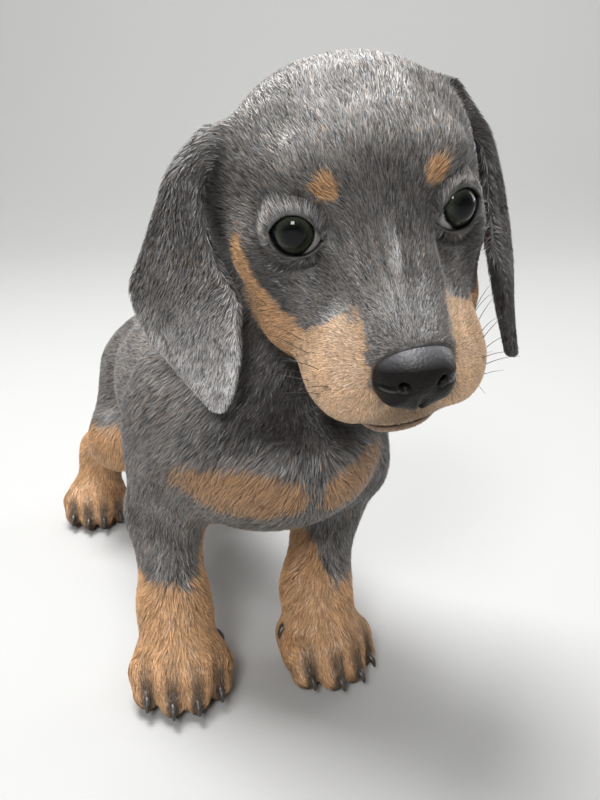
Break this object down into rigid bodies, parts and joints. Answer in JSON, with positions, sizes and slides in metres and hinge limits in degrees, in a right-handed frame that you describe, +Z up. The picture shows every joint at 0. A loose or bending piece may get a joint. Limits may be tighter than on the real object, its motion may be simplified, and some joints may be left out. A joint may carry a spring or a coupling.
{
  "type": "dachshund puppy",
  "caption": "Life-size still model of a smooth-haired blue-and-tan dachshund puppy standing on its feet with its head turned and lowered.",
  "frame": {"origin": "on the floor, under the middle of the puppy's box", "axes": "+Z up, the puppy faces -Y, its own left side is +X"},
  "size_m": [0.1113, 0.2987, 0.1914],
  "materials": {
    "coat": "short blue-grey puppy coat with pale hair tips",
    "tan_coat": "short tan puppy coat",
    "nose_leather": "moist slate-black nose leather",
    "eye": "wet dark grey-green eye",
    "claw": "dark horn",
    "skin": "bare dark skin of lids, lips and pads"
  },
  "bodies": {
    "root": {"torso": "coat", "neck": "coat", "head": "coat", "ear_left": "coat", "ear_right": "coat", "thigh_left": "coat", "thigh_right": "coat", "foreleg_left": "coat", "foreleg_right": "coat", "tail": "coat", "lower_jaw": "tan_coat", "shank_left": "tan_coat", "shank_right": "tan_coat", "forepaw_left": "tan_coat", "forepaw_right": "tan_coat", "hindpaw_left": "tan_coat", "hindpaw_right": "tan_coat", "nose": "nose_leather", "eye_left": "eye", "eye_right": "eye"}
  },
  "joints": []
}
